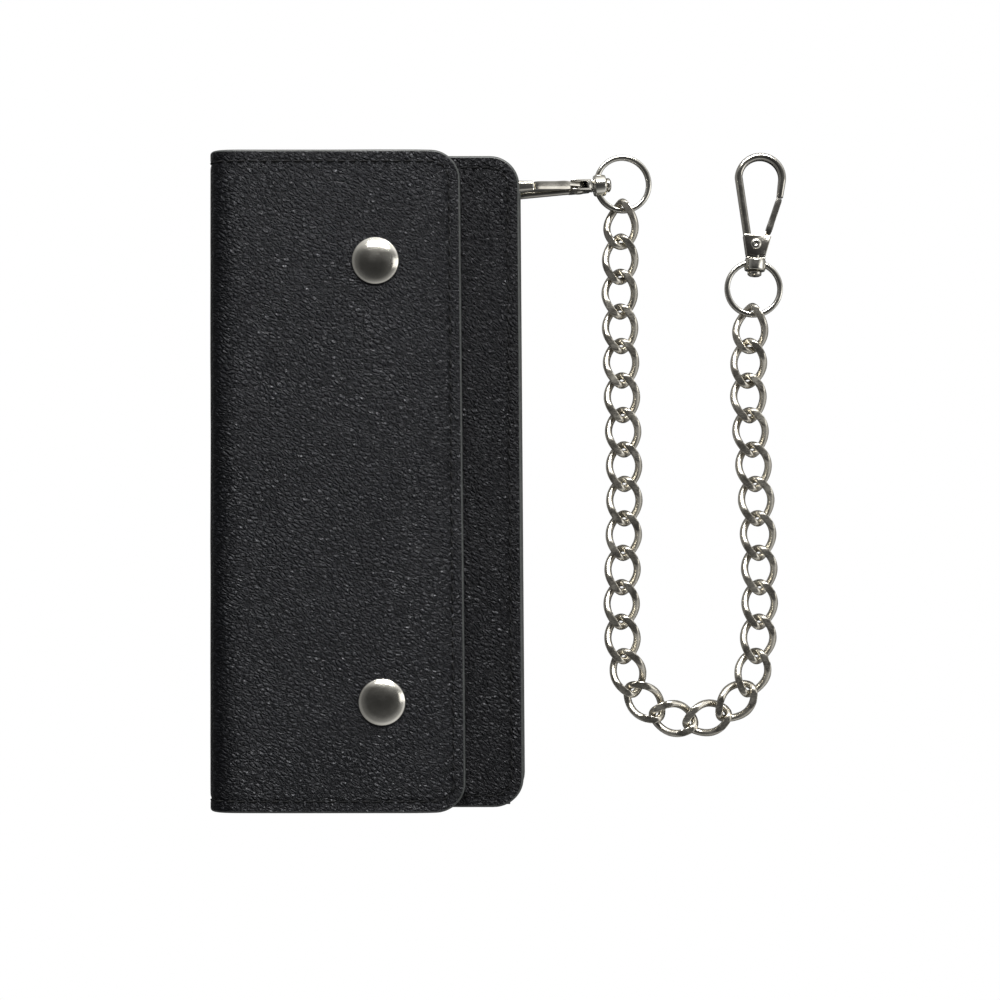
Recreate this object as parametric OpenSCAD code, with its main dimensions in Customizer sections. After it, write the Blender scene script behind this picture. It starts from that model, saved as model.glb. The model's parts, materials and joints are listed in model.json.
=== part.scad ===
// Chain wallet: a long snapped bifold in leather, tethered by a curb chain with two swivel hooks.
// The wallet lies on its back. +X runs from the spine to the mouth, +Y along the spine, +Z up.
// The origin is the middle of the flat part of the back.

/* [Wallet] */
// Length of the wallet along its spine
wallet_len = 178; // [150:1:190]
// Distance from the spine's fold lines to the mouth edge
wallet_wid = 83.9; // [83:0.1:84.5]
// Width of the flap from its fold line to its free edge
flap_wid = 68.2; // [66:0.1:69]
// Radius of the free corners
corner_r = 8; // [5:0.5:10]
// Thickness of the outer leather
leather_t = 1.4; // [1.2:0.1:1.4]
// Thickness of the lining leather
lining_t = 0.7; // [0.5:0.1:0.7]
// Thickness of a card leaf
leaf_t = 0.55; // [0.4:0.05:0.55]
// Height of the pocket panel's underside over the back
panel_z = 14.75; // [14.7:0.05:15]
// How far the mouth edge of the back rises
mouth_lift = 3; // [2.8:0.1:3.2]
// How far the flap's free edge turns down
flap_drop = 1.9; // [1:0.1:2]

/* [Snaps] */
// Diameter of a snap's domed cap
cap_d = 12.6; // [11:0.1:13]
// Height of the dome
cap_h = 2; // [1.5:0.1:2.2]
// Distance of the snaps from the fold line, halfway between the two
snap_from_fold = 45.6; // [43:0.1:48]
// How far each snap stands off that distance, the +Y one nearer the fold
snap_skew = 0.9; // [0:0.1:1.2]
// Distance of each snap from the middle of the wallet
snap_y = 59.1; // [55:0.1:62]

/* [Chain] */
// Distance between the centres of neighbouring links
pitch = 9.65; // [9.6:0.01:9.7]
// Wire diameter of a link
wire_d = 2.1; // [2:0.05:2.1]
// Half width of a link along the middle of its wire
link_a = 4.1; // [4.05:0.05:4.1]
// Half length of a link along the middle of its wire
link_b = 6.12; // [6.1:0.01:6.14]
// Twist of each end of a link, in degrees
link_twist = 45; // [44:1:46]
// Half height of a link between its ground flats
link_half_z = 1.9; // [1.85:0.05:2]

/* [Hooks] */
// Outer diameter of the swivel ring
ring_d = 16.2; // [16:0.1:16.4]
// Radial thickness of the swivel ring
ring_t = 1.45; // [1.3:0.05:1.5]
// Axial thickness of the swivel ring
ring_w = 2; // [1.8:0.1:2.1]
// Thickness of a hook's casting
hook_t = 3; // [2.8:0.1:3.1]
// Radius of the hook's bow along the middle of its bar
bow_r = 6.1; // [6:0.1:6.2]
// Width of the hook's bar
bar_w = 2.05; // [1.9:0.05:2.1]
// Diameter of the boss that the hook turns in
boss_d = 6.2; // [6:0.1:6.6]

/* [Hidden] */

$fn = 48;
leather = [0.13, 0.13, 0.14];
lining = [0.2, 0.2, 0.21];
nickel = [0.78, 0.77, 0.75];
steel = [0.55, 0.55, 0.57];
gap = 0.05;

// Wallet levels and edges
fold_x = -41.2;
mouth_x = fold_x + wallet_wid;
flap_x = fold_x + flap_wid;
half_len = wallet_len / 2;
plate_gap = 0.55;
lining_z = leather_t + gap;
divider_z = 9.5;
leaf_step = leaf_t + gap;
leaf_w = 57;
body_leaf_z = panel_z + leather_t + gap;
flap_leaf_z = body_leaf_z + 3 * leaf_step + 0.3;
flap_lining_z = flap_leaf_z + 3 * leaf_step;
flap_cover_z = flap_lining_z + lining_t + gap;
flap_top_z = flap_cover_z + leather_t;
hinge_low_z = leather_t / 2;
hinge_high_z = flap_cover_z + leather_t / 2;

// Snaps
snap_x = fold_x + snap_from_fold;
post_r = 1.6;
stud_r = 2.1;

// Eyelet
eyelet_pos = [35.9, 80.2];
eyelet_r = 3.3;
eyelet_wall = 0.45;
flange_r = 5.1;

// Chain route, from the wallet's ring to the belt hook's ring.
// Each heading is the direction of one link, in degrees from -Y towards +X.
ring_centre = [71.1, 83, 3.9];
headings = [
    -2, -1, 0, 2, 1, 2, 2, 1, 0, -2, -2, -1, 4, 15, 45,
    75, 105, 135, 165, 176, 179, 182, 182, 184, 185, 185, 183, 178, 176
];
links = len(headings);
ring_reach = 11.15;
// Height, pitch and roll of the links next to each ring, from the ring outwards.
end_lift = [[4.05, 2.6, 25.3], [3.15, 8.5, 8.3], [2.35, 0, 0]];
flat_lift = [link_half_z, 0, 0];
rings = 20;
sides = 8;

// Hooks: lengths along the hook from the centre of its ring
ring_r = ring_d / 2;
boss_from = 5;
boss_to = 8.15;
neck_from = 8.25;
neck_to = 9.2;
base_to = 15;
bow_y = 31.2;
neck_half = 2.65;
neck_t = 2.6;
stem_r = 1.5;
head_r = 1.95;
head_h = 1.5;
running = 0.06;
gate_pivot = [-0.3, 12.4];
gate_pin_r = 0.8;
slot_half = 0.95;
gate_start = [2.95, 15.6];
gate_tip = [5.6, 25.6];
gate_bar_w = 1.7;
gate_eye_r = 1.75;
gate_tongue_t = 1;
gate_bar_t = 2.4;
nose_gap = [0.15, 0.75];
wallet_hook_yaw = 94.5;
wallet_hook_rise = 6.4;
belt_hook_rise = -3.5;

// ---- helpers ----

function heading_dir(h) = [sin(h), -cos(h)];

function chain_joint(k) =
    k == 0 ? [ring_centre.x, ring_centre.y] + heading_dir(headings[0]) * (ring_reach - pitch / 2)
           : chain_joint(k - 1) + heading_dir(headings[k - 1]) * pitch;

function link_centre(k) = chain_joint(k) + heading_dir(headings[k]) * pitch / 2;

belt_ring = chain_joint(links) + heading_dir(headings[links - 1]) * (ring_reach - pitch / 2);

function smooth(v) = let (c = min(1, max(0, v))) c * c * (3 - 2 * c);

// Height of the back's underside, level first and rising towards the mouth.
function back_rise(x) = mouth_lift * smooth((x - (mouth_x - 30)) / 16);

// Height that the flap loses towards its free edge.
function flap_fall(x) = flap_drop * smooth((x - (flap_x - 9)) / 9);

function spaced(from, to, n) = [for (i = [0:n]) from + (to - from) * i / n];

// Outline with two rounded corners on the +X side.
module outline(x0, x1, half, r) {
    square_to = x1 - r;
    translate([x0, -half]) square([square_to - x0, 2 * half]);
    translate([x0, -half + r]) square([x1 - x0, 2 * (half - r)]);
    for (s = [-1, 1]) translate([square_to, s * (half - r)]) circle(r);
}

// A slab of constant thickness whose height follows a list of [x, z] points.
module bent_slab(points, t, x1, half, r) {
    top = [for (i = [len(points) - 1:-1:0]) points[i] + [0, t]];
    intersection() {
        rotate([90, 0, 0])
            translate([0, 0, -half])
                linear_extrude(2 * half) polygon(concat(points, top));
        translate([0, 0, -5]) linear_extrude(40) outline(points[0].x, x1, half, r);
    }
}

function back_points(z, x0) = concat(
    [[x0, z]],
    [for (x = spaced(mouth_x - 30, mouth_x - 14, 8)) [x, z + back_rise(x)]],
    [[mouth_x, z + mouth_lift]]
);

function flap_points(z, x0, x1) = concat(
    [[x0, z]],
    [for (x = spaced(flap_x - 9, x1, 6)) [x, z - flap_fall(x)]]
);

module at_snaps() {
    for (s = [-1, 1]) translate([snap_x - s * snap_skew, s * snap_y]) children();
}

module eyelet_hole() {
    translate([eyelet_pos.x, eyelet_pos.y, -1])
        cylinder(h = 10, r = eyelet_r + eyelet_wall + 0.1);
}

// ---- wallet body ----

module back_cover() {
    color(leather) difference() {
        bent_slab(back_points(0, fold_x + plate_gap), leather_t, mouth_x, half_len - 0.3, corner_r);
        eyelet_hole();
    }
}

module back_lining() {
    color(lining) difference() {
        bent_slab(back_points(lining_z, fold_x + 2), lining_t, mouth_x - 0.6, half_len - 0.9, corner_r);
        eyelet_hole();
    }
}

module bill_divider() {
    color(lining) translate([0, 0, divider_z])
        linear_extrude(lining_t) outline(fold_x + 3, mouth_x - 12, half_len - 7, 4);
}

// A strip folded inwards that closes one short end between the back and the pocket panel.
module gusset(x1) {
    low = leather_t + lining_t + 2 * gap;
    high = panel_z - gap;
    mid = (low + high) / 2;
    outer = half_len - 1.2;
    fold = 4.4;
    t = 0.8;
    difference() {
        rotate([90, 0, 90]) translate([0, 0, fold_x + 3]) linear_extrude(x1 - fold_x - 3)
            polygon([
                [outer, low], [outer - fold, mid], [outer, high],
                [outer - t, high], [outer - fold - t, mid], [outer - t, low]
            ]);
        rotate([90, 0, 0]) translate([0, 0, -half_len - 5]) linear_extrude(wallet_len + 10)
            polygon(concat(
                [[fold_x, -2]],
                back_points(low, fold_x),
                [[mouth_x, -2]]
            ));
    }
}

module gusset_top() {
    color(leather) gusset(eyelet_pos.x - flange_r - 2.6);
}

module gusset_bottom() {
    color(leather) mirror([0, 1, 0]) gusset(mouth_x - 3);
}

module pocket_panel() {
    color(leather) difference() {
        translate([0, 0, panel_z])
            linear_extrude(leather_t) outline(fold_x + 1.4, mouth_x - 0.6, half_len - 0.5, corner_r);
        at_snaps() translate([0, 0, panel_z - 1]) cylinder(h = 5, r = post_r + 0.02);
    }
}

// A card leaf between the two snaps; its mouth is the +Y edge.
module card_leaf(z, mouth_y) {
    translate([fold_x + 1.6, -50, z]) cube([leaf_w, 50 + mouth_y, leaf_t]);
}

module body_card_leaf_1() {
    color(lining) card_leaf(body_leaf_z, 49);
}

module body_card_leaf_2() {
    color(lining) card_leaf(body_leaf_z + leaf_step, 38);
}

module body_card_leaf_3() {
    color(lining) card_leaf(body_leaf_z + 2 * leaf_step, 27);
}

// Eyelet: its flange lies under the back and its roll over the washer.
module eyelet() {
    flange_top = mouth_lift - gap / 2;
    roll_low = mouth_lift + leather_t + lining_t + 3 * gap + 0.5;
    roll_t = 0.3;
    roll_r = eyelet_r + 1.1;
    color(nickel) translate([eyelet_pos.x, eyelet_pos.y, 0]) rotate_extrude()
        polygon([
            [eyelet_r, mouth_lift - eyelet_wall], [flange_r, mouth_lift - eyelet_wall],
            [flange_r, flange_top], [eyelet_r + eyelet_wall, flange_top],
            [eyelet_r + eyelet_wall, roll_low], [roll_r, roll_low],
            [roll_r, roll_low + roll_t], [eyelet_r, roll_low + roll_t]
        ]);
}

module eyelet_washer() {
    z = mouth_lift + leather_t + lining_t + 2 * gap;
    color(nickel) translate([eyelet_pos.x, eyelet_pos.y, z]) difference() {
        cylinder(h = 0.45, r = flange_r);
        translate([0, 0, -1]) cylinder(h = 3, r = eyelet_r + eyelet_wall + 0.05);
    }
}

// Stud: a dished base on the panel and a neck with a bulged head that the socket grips.
module snap_studs() {
    z = panel_z + leather_t + gap;
    color(nickel) at_snaps() translate([0, 0, z]) rotate_extrude()
        polygon([
            [0, 0], [5, 0], [5, 0.4], [2.6, 0.6], [stud_r - 0.3, 0.9],
            [stud_r - 0.3, 1.5], [stud_r, 2], [stud_r, 2.4], [stud_r - 0.5, 2.9], [0, 2.9]
        ]);
}

// Post: the rivet under the panel that holds the stud.
module snap_posts() {
    color(steel) at_snaps() rotate_extrude()
        polygon([
            [0, panel_z - 0.5], [4.5, panel_z - 0.5], [4.5, panel_z - gap], [post_r, panel_z - gap],
            [post_r, panel_z + leather_t], [0, panel_z + leather_t]
        ]);
}

// ---- spine and flap ----

// The leather between the two fold lines, bowed outwards a little.
module spine_leather() {
    chord = hinge_high_z - hinge_low_z;
    bow = 0.8;
    radius = (chord * chord / 4 + bow * bow) / (2 * bow);
    mid = [fold_x - bow + radius, (hinge_high_z + hinge_low_z) / 2];
    reach = asin(chord / 2 / radius) - asin(plate_gap / radius) * 1.4;
    steps = 6;
    function arc(r, from, to) = [
        for (i = [0:steps]) let (w = from + (to - from) * i / steps) mid + r * [-cos(w), sin(w)]
    ];
    color(leather) rotate([90, 0, 0]) translate([0, 0, -half_len + 0.2])
        linear_extrude(wallet_len - 0.4) polygon(concat(
            arc(radius - leather_t / 2, -reach, reach),
            arc(radius + leather_t / 2, reach, -reach)
        ));
}

module flap_cover() {
    color(leather) difference() {
        bent_slab(
            flap_points(flap_cover_z, fold_x + plate_gap, flap_x), leather_t, flap_x, half_len, corner_r
        );
        at_snaps() cylinder(h = 40, r = post_r + 0.02);
    }
}

module flap_lining() {
    color(lining) difference() {
        bent_slab(
            flap_points(flap_lining_z, fold_x + 2, flap_x - 0.6), lining_t, flap_x - 0.6,
            half_len - 0.6, corner_r
        );
        at_snaps() cylinder(h = 40, r = post_r + 0.02);
    }
}

module flap_card_leaf_1() {
    color(lining) card_leaf(flap_leaf_z, 27);
}

module flap_card_leaf_2() {
    color(lining) card_leaf(flap_leaf_z + leaf_step, 38);
}

module flap_card_leaf_3() {
    color(lining) card_leaf(flap_leaf_z + 2 * leaf_step, 49);
}

// Cap: a domed shell with a rolled rim and the post that goes down through the flap.
module snap_caps() {
    r = cap_d / 2;
    dome = (r * r + (cap_h - 0.5) * (cap_h - 0.5)) / (2 * (cap_h - 0.5));
    steps = 8;
    edge = asin(r / dome);
    z = flap_top_z + gap;
    color(nickel) at_snaps() translate([0, 0, z]) rotate_extrude()
        polygon(concat(
            [[0, -leather_t - lining_t - 3 * gap], [post_r, -leather_t - lining_t - 3 * gap]],
            [[post_r, 0], [r - 0.3, 0], [r, 0.2]],
            [for (i = [0:steps]) let (w = edge * (1 - i / steps))
                [dome * sin(w), cap_h - dome * (1 - cos(w))]]
        ));
}

// Socket: the ring under the flap's lining that grips the stud's head.
module snap_sockets() {
    depth = 2.1;
    z = flap_lining_z - gap;
    color(nickel) at_snaps() translate([0, 0, z]) rotate_extrude()
        polygon([
            [0, 0], [5, 0], [5, -0.8], [4.2, -1.2], [4.2, -depth], [stud_r + 0.3, -depth],
            [stud_r + 0.15, -depth + 0.4], [stud_r + 0.15, -0.5], [0, -0.5]
        ]);
}

// ---- hooks ----

module place_wallet_hook() {
    translate(ring_centre)
        rotate([0, 0, wallet_hook_yaw])
            rotate([wallet_hook_rise, 0, 0]) children();
}

module place_belt_hook() {
    translate([belt_ring.x, belt_ring.y, ring_centre.z])
        rotate([0, 0, headings[links - 1] + 180])
            rotate([belt_hook_rise, 0, 0]) children();
}

// Flat bar between two points, for a hook's legs.
module bar(a, b, w) {
    d = b - a;
    translate(a) rotate(atan2(d.y, d.x)) translate([0, -w / 2]) square([norm(d), w]);
}

// Hook casting: stem with its peened head, neck, forked base, straight leg and bow.
module hook_body() {
    difference() {
        union() {
            rotate([-90, 0, 0]) {
                translate([0, 0, boss_from - head_h - 0.1]) cylinder(h = head_h, r = head_r);
                translate([0, 0, boss_from - 0.2]) cylinder(h = neck_to - boss_from, r = stem_r);
            }
            translate([0, 0, -neck_t / 2]) linear_extrude(neck_t) {
                translate([-neck_half, neck_from]) square([2 * neck_half, 0.35]);
                translate([-neck_half + 0.4, neck_from]) square([2 * neck_half - 0.8, neck_to - neck_from]);
                translate([-neck_half, neck_to - 0.35]) square([2 * neck_half, 0.45]);
            }
            translate([0, 0, -hook_t / 2]) linear_extrude(hook_t) {
                polygon([
                    [-neck_half, neck_to], [neck_half, neck_to], [3.9, base_to], [-4.05, base_to]
                ]);
                bar([-1.75, neck_to + 0.3], [-bow_r, bow_y], bar_w);
                difference() {
                    translate([0, bow_y]) circle(bow_r + bar_w / 2);
                    translate([0, bow_y]) circle(bow_r - bar_w / 2);
                    translate([-10, bow_y - 10]) square([20, 10]);
                }
                bar([bow_r, bow_y + 0.05], gate_tip + nose_gap, bar_w);
            }
        }
        translate([-neck_half + 0.3, neck_to + 0.9, -slot_half]) cube([10, 8, 2 * slot_half]);
        translate([gate_pivot.x, gate_pivot.y, -5]) cylinder(h = 10, r = gate_pin_r + 0.01);
    }
}

// Gate: an eye on the pin inside the fork and a bar that closes the hook.
module gate_body() {
    difference() {
        union() {
            translate([0, 0, -0.85]) linear_extrude(gate_tongue_t) {
                translate(gate_pivot) circle(gate_eye_r);
                bar(gate_pivot, gate_start, 1.5);
                bar(gate_start - [0.2, 0.6], gate_start + [0.4, 1.3], gate_bar_w);
            }
            translate([0, 0, -gate_bar_t / 2]) linear_extrude(gate_bar_t)
                bar(gate_start, gate_tip, gate_bar_w);
        }
        translate([gate_pivot.x, gate_pivot.y, -5]) cylinder(h = 10, r = gate_pin_r + running);
    }
}

// Rivet through the fork, with a low head on each side.
module gate_pin_body() {
    translate([gate_pivot.x, gate_pivot.y, 0]) {
        cylinder(h = hook_t, r = gate_pin_r, center = true);
        for (turn = [0, 180]) rotate([turn, 0, 0]) translate([0, 0, hook_t / 2])
            cylinder(h = 0.45, r1 = 1.5, r2 = 1);
    }
}

// Closed shape of the small torsion coil round the pin.
module gate_spring_body() {
    translate([gate_pivot.x, gate_pivot.y, 0.22]) difference() {
        cylinder(h = 0.66, r = 1.5);
        translate([0, 0, -1]) cylinder(h = 3, r = gate_pin_r + 0.12);
    }
}

// Swivel eye: a flat ring with a boss that the hook's stem turns in.
module eye_body() {
    edge = 0.35;
    inner = ring_r - ring_t;
    half = ring_w / 2;
    difference() {
        union() {
            rotate_extrude() polygon([
                [inner, -half + edge], [inner + edge, -half], [ring_r - edge, -half],
                [ring_r, -half + edge], [ring_r, half - edge], [ring_r - edge, half],
                [inner + edge, half], [inner, half - edge]
            ]);
            rotate([-90, 0, 0]) translate([0, 0, boss_from]) cylinder(h = boss_to - boss_from, r = boss_d / 2);
        }
        rotate([-90, 0, 0]) cylinder(h = 12, r = stem_r + running);
    }
}

module wallet_hook() {
    color(nickel) place_wallet_hook() rotate([0, -90, 0]) hook_body();
}

module wallet_gate() {
    color(nickel) place_wallet_hook() rotate([0, -90, 0]) gate_body();
}

module wallet_gate_pin() {
    color(steel) place_wallet_hook() rotate([0, -90, 0]) gate_pin_body();
}

module wallet_gate_spring() {
    color(steel) place_wallet_hook() rotate([0, -90, 0]) gate_spring_body();
}

module wallet_eye() {
    color(nickel) place_wallet_hook() eye_body();
}

module belt_hook() {
    color(nickel) place_belt_hook() hook_body();
}

module belt_gate() {
    color(nickel) place_belt_hook() gate_body();
}

module belt_gate_pin() {
    color(steel) place_belt_hook() gate_pin_body();
}

module belt_gate_spring() {
    color(steel) place_belt_hook() gate_spring_body();
}

module belt_eye() {
    color(nickel) place_belt_hook() eye_body();
}

// ---- chain ----

// A point on the middle of a link's wire: an oval whose two ends are twisted opposite ways.
function wire_point(t) =
    let (f = link_twist * sin(t))
    [link_a * cos(t) * cos(f), link_b * sin(t), link_a * cos(t) * sin(f)];

function unit(v) = v / norm(v);

// One ring of points round the wire, with the link's top and bottom ground flat.
function wire_ring(t) =
    let (
        p = wire_point(t),
        along = unit(wire_point(t + 0.01) - wire_point(t - 0.01)),
        f = link_twist * sin(t),
        flat = [-sin(f), 0, cos(f)],
        up = unit(flat - along * (flat * along)),
        side = cross(along, up)
    )
    [for (j = [0:sides - 1])
        let (w = 360 * (j + 0.5) / sides, v = p + wire_d / 2 * (cos(w) * side + sin(w) * up))
        [v.x, v.y, min(link_half_z, max(-link_half_z, v.z))]];

module link_body() {
    points = [for (i = [0:rings - 1]) each wire_ring(360 * i / rings)];
    faces = [
        for (i = [0:rings - 1], j = [0:sides - 1])
            let (
                a = i * sides + j,
                b = i * sides + (j + 1) % sides,
                c = ((i + 1) % rings) * sides + (j + 1) % sides,
                d = ((i + 1) % rings) * sides + j
            )
            each [[a, c, b], [a, d, c]]
    ];
    polyhedron(points, faces, convexity = 4);
}

// A link at its place; those next to a swivel ring climb and lean into it.
module link(k) {
    c = link_centre(k);
    from_end = min(k, links - 1 - k);
    side = k < links / 2 ? 1 : -1;
    lift = from_end < len(end_lift) ? end_lift[from_end] : flat_lift;
    color(nickel) translate([c.x, c.y, lift[0]])
        rotate([0, 0, headings[k]])
            rotate([side * lift[1], 0, 0])
                rotate([0, -side * lift[2], 0]) link_body();
}

back_cover();
back_lining();
bill_divider();
gusset_top();
gusset_bottom();
pocket_panel();
body_card_leaf_1();
body_card_leaf_2();
body_card_leaf_3();
eyelet();
eyelet_washer();
snap_studs();
snap_posts();
spine_leather();
flap_cover();
flap_lining();
flap_card_leaf_1();
flap_card_leaf_2();
flap_card_leaf_3();
snap_caps();
snap_sockets();
wallet_hook();
wallet_gate();
wallet_gate_pin();
wallet_gate_spring();
wallet_eye();
belt_hook();
belt_gate();
belt_gate_pin();
belt_gate_spring();
belt_eye();
link(0);  // link_01
link(1);  // link_02
link(2);  // link_03
link(3);  // link_04
link(4);  // link_05
link(5);  // link_06
link(6);  // link_07
link(7);  // link_08
link(8);  // link_09
link(9);  // link_10
link(10);  // link_11
link(11);  // link_12
link(12);  // link_13
link(13);  // link_14
link(14);  // link_15
link(15);  // link_16
link(16);  // link_17
link(17);  // link_18
link(18);  // link_19
link(19);  // link_20
link(20);  // link_21
link(21);  // link_22
link(22);  // link_23
link(23);  // link_24
link(24);  // link_25
link(25);  // link_26
link(26);  // link_27
link(27);  // link_28
link(28);  // link_29
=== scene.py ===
"""Chain wallet: a long snapped bifold in pebbled leather, on a curb chain with two swivel hooks.

Lengths in the classes are millimetres, and objects are made in metres.
"""

import json
import logging
import math
from dataclasses import dataclass
from enum import Enum
from typing import Callable, Sequence

import bmesh
import bpy
import numpy as np
from mathutils import Matrix, Vector, noise


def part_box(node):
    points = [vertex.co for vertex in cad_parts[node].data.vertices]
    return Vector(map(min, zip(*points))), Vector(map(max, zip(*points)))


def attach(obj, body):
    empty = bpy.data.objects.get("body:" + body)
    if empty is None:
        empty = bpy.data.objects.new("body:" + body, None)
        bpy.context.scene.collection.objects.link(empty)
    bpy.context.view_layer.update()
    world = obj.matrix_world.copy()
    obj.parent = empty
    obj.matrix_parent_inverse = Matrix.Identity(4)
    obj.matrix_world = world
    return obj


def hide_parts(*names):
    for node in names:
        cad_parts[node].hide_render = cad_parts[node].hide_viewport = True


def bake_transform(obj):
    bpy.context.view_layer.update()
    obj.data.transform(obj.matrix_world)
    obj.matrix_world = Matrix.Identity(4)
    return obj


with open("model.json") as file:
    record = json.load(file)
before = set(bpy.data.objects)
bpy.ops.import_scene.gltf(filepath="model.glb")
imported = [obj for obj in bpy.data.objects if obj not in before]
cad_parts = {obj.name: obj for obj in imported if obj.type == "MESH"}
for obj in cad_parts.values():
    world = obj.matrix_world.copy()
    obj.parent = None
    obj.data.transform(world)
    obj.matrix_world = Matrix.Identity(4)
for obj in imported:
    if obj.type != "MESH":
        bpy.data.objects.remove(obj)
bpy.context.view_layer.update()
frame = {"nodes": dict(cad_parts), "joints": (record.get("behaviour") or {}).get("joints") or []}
LOG = logging.getLogger("chain_wallet")
MM = 0.001
TURN = 2 * math.pi
UP = np.array([0.0, 0.0, 1.0])

Array = np.ndarray
Material = bpy.types.Material
Object = bpy.types.Object
Outline = Sequence[Sequence[float]]
Shell = tuple[np.ndarray, list]
Socket = bpy.types.NodeSocket


class Slot(Enum):
    """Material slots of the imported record."""

    LEATHER = "leather"
    LINING = "lining"
    NICKEL = "nickel"
    CHAIN = "chain_nickel"
    STEEL = "steel"


class Face(Enum):
    """Which finish a face of a leather sheet takes."""

    GRAIN = 0
    FLESH = 1
    EDGE = 2


# ---- finishes ----


class Graph:
    """A node tree that ends in one shader, with short ways to add and join nodes."""

    def __init__(self, owner: Material | bpy.types.World, shader: str = "Principled BSDF") -> None:
        """Starts on the shader that a new material or world has."""
        owner.use_nodes = True
        self.owner, self.tree = owner, owner.node_tree
        self.shader = self.tree.nodes[shader]

    def set(self, **sockets: float | tuple) -> None:
        """Sets uniform values on the shader's own sockets; underscores stand for spaces."""
        for name, value in sockets.items():
            self.shader.inputs[name.replace("_", " ")].default_value = value

    def node(self, kind: str, links: dict | None = None, **values: object) -> bpy.types.Node:
        """Adds a node.

        Args:
            kind: the node's type, without its ShaderNode prefix.
            links: input name or number to the output that feeds it.
            values: node attributes, or input values where the node has no such attribute.

        Returns:
            The new node.
        """
        made = self.tree.nodes.new("ShaderNode" + kind)
        for name, value in values.items():
            if hasattr(made, name):
                setattr(made, name, value)
            else:
                made.inputs[name.replace("_", " ")].default_value = value
        for name, source in (links or {}).items():
            self.tree.links.new(source, made.inputs[name])
        return made

    def place(self, attribute: str = "") -> Socket:
        """The point that patterns follow: a mesh attribute, or the object's own coordinates."""
        if attribute:
            return self.node("Attribute", attribute_name=attribute).outputs["Vector"]
        return self.node("TexCoord").outputs["Object"]

    def noise(self, place: Socket, scale: float, detail: float = 3) -> Socket:
        """A noise value between 0 and 1."""
        return self.node("TexNoise", {"Vector": place}, Scale=scale, Detail=detail).outputs["Fac"]

    def ramp(self, value: Socket, low: float, high: float, first: tuple, last: tuple) -> Socket:
        """Colours from first to last as value goes from low to high."""
        made = self.node("ValToRGB", {"Fac": value})
        ends = made.color_ramp.elements
        ends[0].position, ends[1].position = low, high
        ends[0].color, ends[1].color = (*first, 1), (*last, 1)
        return made.outputs["Color"]

    def curve(self, value: Socket, *stops: tuple[float, float]) -> Socket:
        """Brightness as a soft curve through stops of value and level."""
        made = self.node("ValToRGB", {"Fac": value})
        made.color_ramp.interpolation = "EASE"
        ends = made.color_ramp.elements
        ends[0].position, ends[1].position = stops[0][0], stops[-1][0]
        for position, _ in stops[1:-1]:
            ends.new(position)
        for end, (_, level) in zip(ends, stops):
            end.color = (level, level, level, 1)
        return made.outputs["Color"]

    def span(self, value: Socket, low: float, high: float, first: float, last: float) -> Socket:
        """A number from first to last as value goes from low to high, kept between them."""
        made = self.node("MapRange", {"Value": value}, interpolation_type="SMOOTHSTEP")
        for name, number in (("From Min", low), ("From Max", high), ("To Min", first), ("To Max", last)):
            made.inputs[name].default_value = number
        return made.outputs["Result"]

    def math(self, operation: str, a: Socket, b: Socket | float) -> Socket:
        """One arithmetic step."""
        made = self.node("Math", {0: a}, operation=operation)
        if isinstance(b, (int, float)):
            made.inputs[1].default_value = b
        else:
            self.tree.links.new(b, made.inputs[1])
        return made.outputs[0]

    def join(self, socket: str, source: Socket) -> None:
        """Feeds a shader socket."""
        self.tree.links.new(source, self.shader.inputs[socket])

    def bump(self, height: Socket, depth_mm: float, strength: float = 1.0) -> None:
        """Raises the surface by height times depth_mm."""
        made = self.node("Bump", {"Height": height}, Distance=depth_mm * MM, Strength=strength)
        self.join("Normal", made.outputs["Normal"])


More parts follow.
